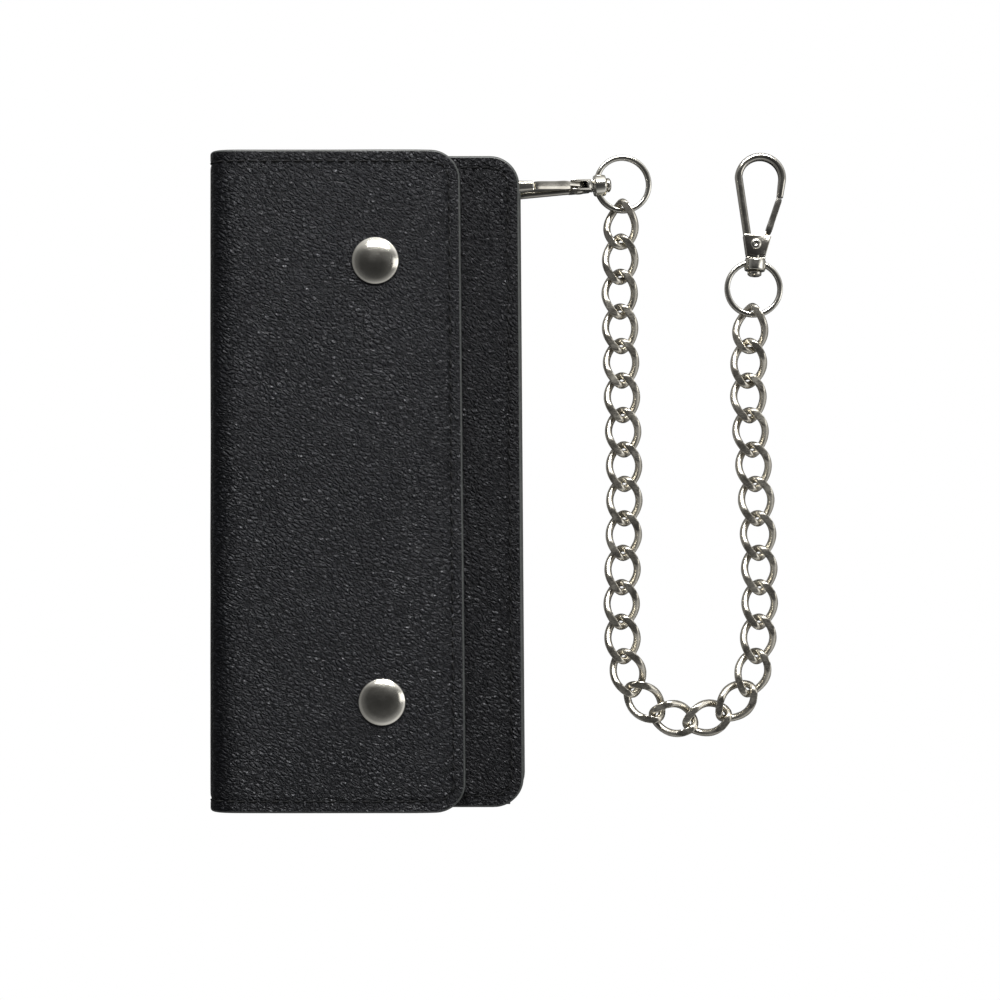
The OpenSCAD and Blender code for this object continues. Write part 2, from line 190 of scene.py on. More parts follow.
@dataclass(frozen=True)
class PebbledLeather:
    """Corrected black leather with long pebbles divided by creases; the pebble crowns are painted lighter than
    the creases, a painted highlight on the crowns and painted shade in the creases.
    """

    name: str = "pebbled_leather"
    pebble: float = 1.02
    stretch: float = 1.75
    lean: float = -30.0
    depth: float = 0.32
    base: tuple = (0.0015, 0.0016, 0.0020)
    # Colour of the pebble tops, a painted highlight; the darker base colour that the creases keep is painted
    # shade.
    crown: tuple = (0.0080, 0.0083, 0.0102)
    # The zone beside the fold that is stretched smooth and takes less shine.
    fold: tuple[float, float] = (9.0, 19.0)
    shine: float = 0.30
    attribute: str = "place"

    def build(self) -> Material:
        """Makes the material."""
        g = Graph(bpy.data.materials.new(self.name))
        place = g.place(self.attribute)
        bend = g.node("TexNoise", {"Vector": place}, Scale=24.0, Detail=3.0).outputs["Color"]
        bent = g.node("VectorMath", {0: bend}, operation="MULTIPLY_ADD")
        bent.inputs[1].default_value = (0.008, 0.008, 0.0)
        g.tree.links.new(place, bent.inputs[2])
        turned = g.node("Mapping", {"Vector": bent.outputs[0]}, vector_type="TEXTURE")
        turned.inputs["Rotation"].default_value = (0, 0, math.radians(self.lean))
        turned.inputs["Scale"].default_value = (self.stretch, 1, 1)
        cell, small = (
            g.node(
                "TexVoronoi", {"Vector": turned.outputs[0]}, feature="DISTANCE_TO_EDGE",
                Scale=share / (self.pebble * MM),
            ).outputs["Distance"]
            for share in (1, 2.3)
        )
        crown = g.span(cell, 0.0, 0.42, 0.0, 1.0)
        detail = g.math("MULTIPLY", g.span(small, 0.0, 0.22, 0.0, 1.0), 0.32)
        swell = g.math("MULTIPLY", g.noise(place, 420.0, 2), 0.6)
        height = g.math("ADD", g.math("ADD", crown, detail), swell)
        along = g.node("SeparateXYZ", {0: place}).outputs["X"]
        worn = g.span(along, self.fold[0] * MM, self.fold[1] * MM, 0.0, 1.0)
        g.bump(g.math("MULTIPLY", height, g.span(worn, 0.0, 1.0, 0.55, 1.0)), self.depth)
        g.join("Specular IOR Level", g.span(worn, 0.0, 1.0, 0.10, self.shine))
        # Painted highlight and shade: the pebble crowns take the lighter colour and the creases the darker
        # one, varied by a random cloud.
        tone = g.math("MULTIPLY", crown, g.span(g.noise(place, 35.0), 0.3, 0.7, 0.6, 1.0))
        g.join("Base Color", g.ramp(tone, 0.0, 1.0, self.base, self.crown))
        g.join("Roughness", g.span(g.math("ADD", crown, g.noise(place, 900.0)), 0.3, 1.6, 0.40, 0.22))
        g.set(Specular_Tint=(0.93, 0.94, 1.0, 1))
        return g.owner


@dataclass(frozen=True)
class SmoothLeather:
    """Fine smooth leather for linings and leaves, or the painted cut edge of thick leather."""

    name: str = "smooth_lining"
    low: tuple = (0.010, 0.010, 0.011)
    high: tuple = (0.021, 0.020, 0.020)
    rough: tuple = (0.45, 0.62)
    grain: float = 1900.0
    depth: float = 0.03
    attribute: str = "place"

    def build(self) -> Material:
        """Makes the material."""
        g = Graph(bpy.data.materials.new(self.name))
        place = g.place(self.attribute)
        fine = g.noise(place, self.grain, 4)
        cloud = g.noise(place, 60.0)
        tone = g.math("MULTIPLY", fine, g.math("ADD", cloud, 0.4))
        g.join("Base Color", g.ramp(tone, 0.2, 0.6, self.low, self.high))
        g.join("Roughness", g.span(cloud, 0.3, 0.7, *self.rough))
        g.bump(g.math("ADD", fine, g.math("MULTIPLY", cloud, 0.8)), self.depth)
        return g.owner


@dataclass(frozen=True)
class Thread:
    """Black bonded thread with its twist; its colour is kept below the leather's as painted shade of the
    stitch groove, with painted light and shade along the twist.
    """

    name: str = "bonded_thread"
    shade: tuple = (0.0008, 0.0008, 0.001)
    lit: tuple = (0.004, 0.004, 0.0045)

    def build(self) -> Material:
        """Makes the material."""
        g = Graph(bpy.data.materials.new(self.name))
        place = g.place()
        twist = g.node(
            "TexWave", {"Vector": place}, wave_type="BANDS", bands_direction="DIAGONAL", Scale=900.0,
            Distortion=1.5,
        ).outputs["Fac"]
        # Painted shade and light: the twist's bands run from a shaded colour to a lit one, both kept darker
        # than the leather as the groove's painted shadow.
        g.join("Base Color", g.ramp(twist, 0.2, 0.9, self.shade, self.lit))
        g.join("Roughness", g.span(g.noise(place, 700.0), 0.3, 0.7, 0.6, 0.8))
        g.set(Specular_IOR_Level=0.25)
        g.bump(twist, 0.04)
        return g.owner


@dataclass(frozen=True)
class Plating:
    """Nickel plate or bare steel, with faint scratches, clouding and handling marks."""

    name: str = "polished_nickel"
    bright: tuple = (0.74, 0.72, 0.66)
    dull: tuple = (0.60, 0.58, 0.52)
    rough: tuple = (0.11, 0.19)
    scratch: float = 0.006
    ripple: float = 0.0

    def build(self) -> Material:
        """Makes the material."""
        g = Graph(bpy.data.materials.new(self.name))
        place = g.place()
        cloud = g.noise(place, 260.0, 4)
        drawn = g.node("Mapping", {"Vector": place})
        drawn.inputs["Rotation"].default_value = (0.3, 0.2, 0.7)
        drawn.inputs["Scale"].default_value = (1.0, 14.0, 5.0)
        marks = g.noise(drawn.outputs[0], 1100.0, 4)
        tone = g.math("MULTIPLY", cloud, g.math("ADD", marks, 0.5))
        g.join("Base Color", g.ramp(tone, 0.3, 0.75, self.dull, self.bright))
        g.join("Roughness", g.span(g.math("MULTIPLY", cloud, marks), 0.12, 0.42, *self.rough))
        height = g.math("ADD", marks, g.math("MULTIPLY", cloud, self.ripple))
        g.bump(height, self.scratch)
        g.set(Metallic=1.0)
        return g.owner


class Finishes:
    """The object's finishes, each made once."""

    def __init__(self) -> None:
        """Builds every material."""
        self.leather = PebbledLeather().build()
        self.panel = PebbledLeather(
            "pebbled_panel", lean=-38.0, fold=(-2.0, -1.0), shine=0.24, base=(0.0015, 0.0015, 0.0018),
            crown=(0.0045, 0.0046, 0.0055),
        ).build()
        self.flesh = SmoothLeather(
            "flesh_side", low=(0.012, 0.012, 0.012), high=(0.026, 0.025, 0.024), depth=0.06
        ).build()
        self.lining = SmoothLeather().build()
        self.edge = SmoothLeather(
            "painted_edge", low=(0.020, 0.022, 0.022), high=(0.044, 0.048, 0.046), rough=(0.35, 0.5),
            grain=1200.0,
        ).build()
        self.gusset = SmoothLeather("gusset_leather", attribute="").build()
        self.thread = Thread().build()
        self.nickel = Plating().build()
        self.casting = Plating(
            "cast_nickel", bright=(0.58, 0.56, 0.51), dull=(0.44, 0.42, 0.375), rough=(0.09, 0.20), ripple=0.5
        ).build()
        self.chain = Plating(
            "chain_nickel", bright=(0.70, 0.67, 0.59), dull=(0.50, 0.47, 0.41), rough=(0.22, 0.37),
            scratch=0.008, ripple=1.0,
        ).build()
        self.steel = Plating(
            "bare_steel", bright=(0.5, 0.5, 0.5), dull=(0.34, 0.34, 0.34), rough=(0.25, 0.4)
        ).build()


# ---- meshes ----


def joint(name: str) -> dict:
    """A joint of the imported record."""
    return next(j for j in frame["joints"] if j["name"] == name)


def box_mm(node: str) -> tuple[Vector, Vector]:
    """A node's box in millimetres."""
    low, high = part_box(node)
    return low / MM, high / MM


def placed(name: str, data: bpy.types.ID) -> Object:
    """Puts a new object with the given data into the scene."""
    made = bpy.data.objects.new(name, data)
    bpy.context.scene.collection.objects.link(made)
    return made


def make_piece(
    name: str,
    points: Array,
    faces: Sequence[Sequence[int]],
    finishes: Sequence[Material],
    kinds: Sequence[int] | None = None,
    place: Matrix | None = None,
    crease: float = 0.0,
) -> Object:
    """Makes a mesh object.

    Args:
        name: the piece's name.
        points: its points in millimetres.
        faces: point numbers of each face.
        finishes: its materials.
        kinds: the material number of each face.
        place: where the piece's own frame lies, in metres.
        crease: edges sharper than this angle in degrees stay crisp; 0 shades everything smooth.

    Returns:
        The new object.
    """
    mesh = bpy.data.meshes.new(name)
    mesh.from_pydata((np.asarray(points, float) * MM).tolist(), [], [list(f) for f in faces])
    for finish in finishes:
        mesh.materials.append(finish)
    if kinds is not None:
        mesh.polygons.foreach_set("material_index", np.asarray(kinds, dtype=np.int32))
    mesh.update()
    made = placed(name, mesh)
    if place is not None:
        mesh.transform(place)
    finish_shell(mesh, crease)
    return made


def finish_shell(mesh: bpy.types.Mesh, crease: float) -> None:
    """Turns closed shells outwards, shaded smooth apart from edges sharper than crease degrees."""
    mesh.polygons.foreach_set("use_smooth", [True] * len(mesh.polygons))
    work = bmesh.new()
    work.from_mesh(mesh)
    bmesh.ops.recalc_face_normals(work, faces=work.faces)
    for edge in work.edges if crease else ():
        edge.smooth = len(edge.link_faces) == 2 and edge.calc_face_angle(0) < math.radians(crease)
    work.to_mesh(mesh)
    work.free()


def dress(piece: Object, body: str, slot: Slot, *nodes: str) -> Object:
    """Lets a piece ride on a body, hides the nodes that it stands for, and reports it."""
    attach(piece, body)
    return stand_for(piece, slot, *nodes)


def stand_for(piece: Object, slot: Slot, *nodes: str) -> Object:
    """Hides the nodes that a piece stands for, and reports it."""
    if nodes:
        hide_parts(*nodes)
    LOG.info("%s: %d faces", piece.name, len(piece.data.polygons))
    return piece


def distances(line: Array) -> Array:
    """How far along a line each of its points lies."""
    return np.r_[0, np.cumsum(np.linalg.norm(np.diff(line, axis=0), axis=1))]


def read_along(at: Array, lengths: Array, values: Array) -> Array:
    """The first two columns of values, read at distances along a line."""
    return np.stack([np.interp(at, lengths, values[:, k]) for k in (0, 1)], -1)


def circle(steps: int, radius: float = 1.0, offset: float = 0.0) -> Array:
    """Points of a circle, turned by a share of a step."""
    turns = (np.arange(steps) + offset) * TURN / steps
    return np.stack([np.cos(turns), np.sin(turns)], 1) * radius


def quads(rows: int, columns: int, closed: bool) -> list:
    """Faces between rows of points, with either the last row joined to the first or both filled."""
    faces = [
        (i * columns + j, i * columns + (j + 1) % columns,
         (i + 1) % rows * columns + (j + 1) % columns, (i + 1) % rows * columns + j)
        for i in range(rows if closed else rows - 1)
        for j in range(columns)
    ]
    if not closed:
        faces += [tuple(range(columns)), tuple((rows - 1) * columns + j for j in range(columns))]
    return faces


def tube(line: Array, section: Callable[[int], Array], up: Array, closed: bool) -> Shell:
    """Sweeps a section along a line.

    Args:
        line: points of the line.
        section: gives the section's points, sideways and up, at each point of the line.
        up: the direction that counts as up, one for the whole line or one a point.
        closed: whether the line ends where it starts.

    Returns:
        Points and faces of a closed shell.
    """
    n = len(line)
    ahead = np.roll(line, -1, 0) - np.roll(line, 1, 0)
    if not closed:
        ahead[0], ahead[-1] = line[1] - line[0], line[-1] - line[-2]
    ahead /= np.linalg.norm(ahead, axis=1)[:, None]
    ups = np.broadcast_to(up, line.shape) - ahead * np.sum(ahead * up, axis=1)[:, None]
    ups = ups / np.linalg.norm(ups, axis=1)[:, None]
    side = np.cross(ahead, ups)
    rings = [line[i] + section(i) @ np.stack([side[i], ups[i]]) for i in range(n)]
    return np.vstack(rings), quads(n, len(rings[0]), closed)


def lathe(profile: Outline, steps: int = 64, closed: bool = False) -> Shell:
    """Turns a profile of (radius, height) points round the Z axis.

    Args:
        profile: the profile; its ends lie on the axis unless it is closed.
        steps: steps of the turn.
        closed: whether the profile ends where it starts, as a ring's does.

    Returns:
        Points and faces of a closed shell.
    """
    points: list = []
    rows: list[list[int]] = []
    for radius, height in profile:
        if radius < 1e-6:
            rows.append([len(points)] * steps)
            points.append((0, 0, height))
        else:
            rows.append([len(points) + j for j in range(steps)])
            turns = [TURN * j / steps for j in range(steps)]
            points += [(radius * math.cos(w), radius * math.sin(w), height) for w in turns]
    pairs = list(zip(rows, rows[1:] + rows[:1])) if closed else list(zip(rows, rows[1:]))
    faces = []
    for low, high in pairs:
        for j in range(steps):
            ring = [low[j], low[(j + 1) % steps], high[(j + 1) % steps], high[j]]
            face = [p for i, p in enumerate(ring) if p != ring[i - 1]]
            if len(face) > 2:
                faces.append(face)
    return np.array(points, float), faces


def rounded(corners: Outline, radius: float, steps: int = 3, closed: bool = True) -> list:
    """Rounds the corners of an outline, each by radius or by what its sides allow."""
    out = []
    n = len(corners)
    for i in range(n):
        here = np.array(corners[i], float)
        if not closed and i in (0, n - 1):
            out.append(tuple(here))
            continue
        before, after = np.array(corners[i - 1], float) - here, np.array(corners[(i + 1) % n], float) - here
        reach = min(radius, 0.45 * np.linalg.norm(before), 0.45 * np.linalg.norm(after))
        a = here + before / np.linalg.norm(before) * reach
        b = here + after / np.linalg.norm(after) * reach
        for k in range(steps + 1):
            t = k / steps
            out.append(tuple((1 - t) ** 2 * a + 2 * t * (1 - t) * here + t * t * b))
    return out


def plate(outline: Outline, low: float, high: float, bevel: float) -> Shell:
    """A flat plate with bevelled edges, its outline in the XY plane.

    Args:
        outline: the outline, anticlockwise.
        low: height of the underside.
        high: height of the top.
        bevel: width of the bevel.

    Returns:
        Points and faces of a closed shell.
    """
    line = np.array(outline, float)
    ahead = np.roll(line, -1, 0) - np.roll(line, 1, 0)
    inward = np.stack([-ahead[:, 1], ahead[:, 0]], 1)
    inward /= np.linalg.norm(inward, axis=1)[:, None]
    n = len(line)
    levels = [(bevel, low), (0.3 * bevel, low + 0.3 * bevel), (0, low + bevel)]
    levels += [(0, high - bevel), (0.3 * bevel, high - 0.3 * bevel), (bevel, high)]
    points = np.vstack([np.c_[line + inward * inset, np.full(n, z)] for inset, z in levels])
    return points, quads(len(levels), n, False)


def together(*shells: Shell) -> Shell:
    """Joins shells into one list of points and faces."""
    points, faces, start = [], [], 0
    for some, own in shells:
        points.append(np.asarray(some, float))
        faces += [tuple(p + start for p in face) for face in own]
        start += len(some)
    return np.vstack(points), faces


def moved(shell: Shell, turn: Matrix | None = None, shift: Sequence[float] = (0, 0, 0)) -> Shell:
    """Turns and then shifts a shell."""
    points = shell[0] if turn is None else shell[0] @ np.array(turn.to_3x3()).T
    return points + np.array(shift, float), shell[1]


# ---- leather ----


class Route:
    """The line that the middle of a leather sheet follows in the XZ plane."""

    STEP = 0.1

    def __init__(self, corners: Outline, soften: float = 0.0) -> None:
        """Runs through the corners, which are then softened.

        Args:
            corners: x and z of each corner.
            soften: width in millimetres over which a corner is spread.
        """
        line = np.array(corners, float)
        lengths = distances(line)
        count = max(2, int(round(lengths[-1] / self.STEP)) + 1)
        dense = read_along(np.linspace(0, lengths[-1], count), lengths, line)
        if soften:
            reach = int(3 * soften / self.STEP)
            first = dense[0] + (dense[0] - dense[1]) * np.arange(reach, 0, -1)[:, None]
            last = dense[-1] + (dense[-1] - dense[-2]) * np.arange(1, reach + 1)[:, None]
            weight = np.exp(-0.5 * (np.arange(-reach, reach + 1) * self.STEP / soften) ** 2)
            padded = np.vstack([first, dense, last])
            dense = np.stack([np.convolve(padded[:, k], weight / weight.sum(), "valid") for k in (0, 1)], 1)
        self.points = dense
        self.lengths = distances(dense)
        ahead = np.gradient(dense, axis=0)
        ahead /= np.linalg.norm(ahead, axis=1)[:, None]
        self.left = np.stack([-ahead[:, 1], ahead[:, 0]], 1)

    @property
    def length(self) -> float:
        """The line's length."""
        return float(self.lengths[-1])

    def at(self, s: Array) -> tuple[Array, Array]:
        """Points and left-hand normals at distances s along the line, which runs on straight past its ends."""
        inside = np.clip(s, 0, self.length)
        point = read_along(inside, self.lengths, self.points)
        left = read_along(inside, self.lengths, self.left)
        left /= np.linalg.norm(left, axis=-1)[..., None]
        ahead = np.stack([left[..., 1], -left[..., 0]], -1)
        return point + ahead * (s - inside)[..., None], left

    def reach_of(self, x: float) -> float:
        """Distance along the line of its last point at x."""
        order = np.where(np.diff(np.sign(self.points[:, 0] - x)) != 0)[0]
        return float(self.lengths[order[-1]]) if len(order) else self.length


def unevenness(s: Array, y: Array, seed: float) -> Array:
    """Soft waves of handled leather, in millimetres."""
    flat = zip(s.ravel(), y.ravel())
    values = [
        0.20 * noise.noise(Vector((a / 31, b / 26, seed)))
        + 0.07 * noise.noise(Vector((a / 9, b / 8, seed + 5)))
        for a, b in flat
    ]
    return np.array(values).reshape(s.shape)


@dataclass
class Sheet:
    """A leather sheet that follows a route, with rounded corners at its far end."""

    CHANNEL_WIDTH = 0.6
    CHANNEL_DEPTH = 0.36
    PRESS_REACH = 9.0
    WAVES_FROM = 12

    name: str
    route: Route
    start: float
    end: float
    half: float
    thickness: float
    level: float = 0.0
    corner: float = 8.0
    near_corner: float = 0.0
    outside: int = 1
    slant: tuple[float, float] = (0.0, 0.0)
    stitched: bool = False
    waves: float = 1.0
    seed: float = 0.0
    presses: Sequence[tuple[float, float, float]] = ()
    inset: float = 3.2
    pitch: float = 3.0
    hole: tuple[float, float, float] | None = None

    @property
    def rim(self) -> float:
        """How far the rounded edge reaches in."""
        return 0.42 * self.thickness

    def edge_distance(self, s: Array, y: Array) -> Array:
        """Distance in from the outline, at its two ends and far side."""
        a, b = self.end - s, self.half - np.abs(y)
        r = self.corner
        in_corner = (a < r) & (b < r)
        round_off = r - np.hypot(r - np.minimum(a, r), r - np.minimum(b, r))
        return np.where(in_corner, round_off, np.minimum(a, b))

    def wave(self, s: Array, y: Array) -> Array:
        """How far the sheet's middle stands off its route."""
        off = self.waves * unevenness(s, y, self.seed)
        for at_s, at_y, depth in self.presses:
            near = np.exp(-((np.hypot(s - at_s, y - at_y) / self.PRESS_REACH) ** 4))
            off = off * (1 - near) - depth * near
        return off

    def groove(self, s: Array, y: Array) -> Array:
        """Depth of the channel that the stitches pull into the surface."""
        if not self.stitched:
            return np.zeros_like(s)
        d = self.edge_distance(s, y)
        channel = np.exp(-(((d - self.inset) / self.CHANNEL_WIDTH) ** 2))
        along = np.where(self.end - s < self.half - np.abs(y), y, s)
        return self.CHANNEL_DEPTH * channel * (0.75 + 0.25 * np.cos(TURN * along / self.pitch))

    def spread(self, s: Array, y: Array, h: Array) -> Array:
        """Points of the sheet in space.

        Args:
            s: distance along the route.
            y: distance along the spine.
            h: height over the sheet's middle, towards its grain side.

        Returns:
            The points.
        """
        share = np.clip((s - self.start) / (self.end - self.start), 0, 1) ** 2
        lean = np.interp(y, [-self.half, self.half], [self.slant[1], self.slant[0]]) * share
        point, left = self.route.at(s + lean)
        off = self.level + h + self.wave(s, y) * np.clip((s - self.start) / self.WAVES_FROM, 0, 1)
        flat = point + left * (self.outside * off)[..., None]
        return np.stack([flat[..., 0], y, flat[..., 1]], -1)

    def _lines(self, low: float, high: float, fine_low: bool) -> Array:
        """Grid lines from low to high, close together near the stitched edges."""
        band = min(6.5, (high - low) / 3)
        fine, coarse = 0.5, 1.3
        first = np.arange(low, low + band, fine) if fine_low else np.array([low])
        begin = first[-1] + (fine if fine_low else 0)
        last = np.arange(high, high - band, -fine)[::-1]
        middle = np.linspace(begin, last[0], max(3, int((last[0] - begin) / coarse)), endpoint=False)
        return np.unique(np.round(np.r_[first, middle, last], 4))

    def _warp(self, s: Array, y: Array) -> tuple[Array, Array]:
        """Bends the grid's square corners round."""
        s, y = s.copy(), y.copy()
        e = self.rim
        for corner, edge, sign in ((self.corner, self.end - e, 1), (self.near_corner, self.start + e, -1)):
            r = corner - e
            if r <= 0:
                continue
            for side in (1, -1):
                cs, cy = edge - sign * r, side * (self.half - e - r)
                a, b = (s - cs) * sign / r, (y - cy) * side / r
                pick = (a > 0) & (b > 0)
                a, b = np.clip(a, 0, 1), np.clip(b, 0, 1)
                s = np.where(pick, cs + sign * r * a * np.sqrt(1 - b * b / 2), s)
                y = np.where(pick, cy + side * r * b * np.sqrt(1 - a * a / 2), y)
        return s, y

    def _punch(self, s: Array, y: Array) -> tuple[Array, Array, Array]:
        """Finds the grid faces inside the hole and draws the faces round it onto its edge.

        Args:
            s: distance along the route of each grid point.
            y: distance along the spine of each grid point.

        Returns:
            The points' new places, and which faces fall away.
        """
        if self.hole is None:
            return s, y, np.zeros((s.shape[0] - 1) * (s.shape[1] - 1), bool)
        at_s, at_y, r = self.hole
        mid_s = (s[:-1, :-1] + s[1:, 1:]) / 2
        mid_y = (y[:-1, :-1] + y[1:, 1:]) / 2
        cut = np.hypot(mid_s - at_s, mid_y - at_y) < r
        wide = np.pad(cut, 1).astype(int)
        near = wide[:-1, :-1] + wide[1:, :-1] + wide[:-1, 1:] + wide[1:, 1:]
        edge = (near > 0) & (near < 4)
        pull = np.where(edge, r / np.maximum(np.hypot(s - at_s, y - at_y), 1e-6), 1.0)
        return at_s + (s - at_s) * pull, at_y + (y - at_y) * pull, cut.ravel()

    @staticmethod
    def _hole_wall(faces: Array, cut: Array, count: int) -> Array:
        """The wall between the two faces of the leather, round the hole."""
        if not cut.any():
            return np.zeros((0, 4), int)
        kept = {(int(f[k]), int(f[(k + 1) % 4])) for f in faces[~cut] for k in range(4)}
        walls = []
        for face in faces[cut]:
            for k in range(4):
                a, b = int(face[k]), int(face[(k + 1) % 4])
                if (b, a) in kept:
                    walls.append((a, b, b + count, a + count))
        return np.array(walls, int)

    def _outwards(self, rim: Array, s: Array, y: Array, rows: int, columns: int) -> Array:
        """Which way the flat outline faces.

        Args:
            rim: numbers of the outline's points in the grid.
            s: their distance along the route.
            y: their distance along the spine.
            rows: rows of the grid, along the route.
            columns: columns of the grid.

        Returns:
            A unit vector for each point.
        """
        e, near, side, none = self.rim, self.near_corner, np.sign(y), np.zeros_like(s)
        r, rn = max(self.corner - e, 1e-6), near - e
        a, b = s - (self.end - e - r), np.abs(y) - (self.half - e - r)
        cases = (
            ((near > e) & (s < self.start + near) & (np.abs(y) > self.half - near),
             s - (self.start + e + rn), (np.abs(y) - (self.half - e - rn)) * side),
            ((a > 0) & (b > 0) & (self.corner > e), a, b * side),
            (np.isin(rim % columns, (0, columns - 1)) & (rim // columns < rows - 1), none, side),
            (rim // columns == rows - 1, none + 1, none),
        )
        where, *ways = zip(*cases)
        v = np.stack([np.select(where, way, last) for way, last in zip(ways, (-1.0 * (near > 0), 0.0))], 1)
        return v / np.maximum(np.linalg.norm(v, axis=1), 1e-9)[:, None]

    def build(self, finishes: Finishes, grain: Material, flesh: Material) -> Object:
        """Makes the sheet as a closed shell with rounded, painted edges."""
        e = self.rim
        seam = self.near_corner <= 0
        ss = self._lines(self.start + (0 if seam else e), self.end - e, fine_low=not seam)
        low = self._lines(0, self.half - e, fine_low=False)
        ys = np.r_[-low[:0:-1], low]
        grid_s, grid_y = self._warp(*np.meshgrid(ss, ys, indexing="ij"))
        ns, ny = grid_s.shape
        grid_s, grid_y, cut = self._punch(grid_s, grid_y)
        top = self.thickness / 2 - self.groove(grid_s, grid_y)
        bottom = -self.thickness / 2 + 0.6 * self.groove(grid_s, grid_y)
        count = ns * ny
        index = np.arange(count).reshape(ns, ny)
        rim = np.r_[index[:-1, 0], index[-1, :-1], index[:0:-1, -1], index[0, :0:-1]]
        flat_s, flat_y = grid_s.ravel(), grid_y.ravel()
        out = self._outwards(rim, flat_s[rim], flat_y[rim], ns, ny)
        steps = 6
        layers = [(flat_s, flat_y, top.ravel()), (flat_s, flat_y, bottom.ravel())]
        for k in range(1, steps):
            w = math.pi * k / steps
            h = 0.5 * (top.ravel()[rim] + bottom.ravel()[rim]) + self.thickness / 2 * math.cos(w)
            wide = e * math.sin(w)
            layers.append((flat_s[rim] + out[:, 0] * wide, flat_y[rim] + out[:, 1] * wide, h))
        s, y, h = (np.concatenate([layer[k] for layer in layers]) for k in range(3))
        corners = (index[:-1, :-1], index[1:, :-1], index[1:, 1:], index[:-1, 1:])
        faces = np.stack([c.ravel() for c in corners], 1)
        under = faces[:, ::-1] + count
        m = len(rim)
        loops = [rim] + [2 * count + m * k + np.arange(m) for k in range(steps - 1)] + [rim + count]
        walls = [np.stack([u, np.roll(u, -1), np.roll(v, -1), v], 1) for u, v in zip(loops, loops[1:])]
        walls.append(self._hole_wall(faces, cut, count))
        faces, under = faces[~cut], under[~cut]
        every = np.vstack([faces, under, *walls])
        kinds = np.r_[
            np.full(len(faces), Face.GRAIN.value),
            np.full(len(under), Face.FLESH.value),
            np.full(sum(map(len, walls)), Face.EDGE.value),
        ]
        used, every = np.unique(every, return_inverse=True)
        every = every.reshape(-1, 4)
        s, y, h = s[used], y[used], h[used]
        leathers = [grain, flesh, finishes.edge]
        piece = make_piece(self.name, self.spread(s, y, h), every.tolist(), leathers, kinds)
        place = np.stack([s, y, h], 1) * MM
        attribute = piece.data.attributes.new("place", "FLOAT_VECTOR", "POINT")
        attribute.data.foreach_set("vector", place.astype(np.float32).ravel())
        return piece


@dataclass
class Seam:
    """A row of lock stitches round a sheet's two ends and far side, seen on both faces."""

    sheet: Sheet
    name: str
    start: float
    length: float = 2.35
    radius: float = 0.27
    sinks: float = 0.22
    under: float = 0.7
    clear_of: tuple[float, float, float] = (0.0, 0.0, 0.0)

    def _line(self) -> Array:
        """The seam's line in the sheet's flat plane."""
        sheet, d = self.sheet, self.sheet.inset
        s1, y1 = sheet.end - d, sheet.half - d
        r = sheet.corner - d
        quarter = np.linspace(0, math.pi / 2, 9)
        turn = [(s1 - r + r * math.sin(w), y1 - r + r * math.cos(w)) for w in quarter]
        upper = [(self.start, y1), *turn]
        return np.array(upper + [(s, -y) for s, y in upper[::-1]])

    def build(self, finishes: Finishes) -> Object:
        """Makes every stitch of the row as one piece."""
        line = self._line()
        lengths = distances(line)
        count = int(lengths[-1] / self.sheet.pitch)
        centres = (np.arange(count) + 0.5) * lengths[-1] / count
        tau = np.linspace(0, 1, 8)
        shells = []
        for centre in centres:
            at = centre + (tau - 0.5) * self.length
            s, y = read_along(at, lengths, line).T
            ahead = np.array([s[-1] - s[0], y[-1] - y[0]])
            ahead /= np.linalg.norm(ahead)
            skew = (tau - 0.5) * 0.30
            s, y = s - ahead[1] * skew, y + ahead[0] * skew
            rise = np.sin(math.pi * tau)
            if math.hypot(s.mean() - self.clear_of[0], y.mean() - self.clear_of[1]) < self.clear_of[2]:
                continue
            for side, face, sinks in ((1, self.sheet.thickness / 2, self.sinks), (-1, self.under, 0.2)):
                off = face + 0.22 * rise - 0.20 * (1 - rise) - sinks
                spine = self.sheet.spread(s, y, side * off)
                radii = self.radius * (0.45 + 0.55 * rise**0.6)
                up = self.sheet.spread(s, y, side * (off + 1)) - spine
                shells.append(tube(spine, lambda i, r=radii: circle(7) * r[i], up, closed=False))
        return make_piece(self.name, *together(*shells), [finishes.thread])


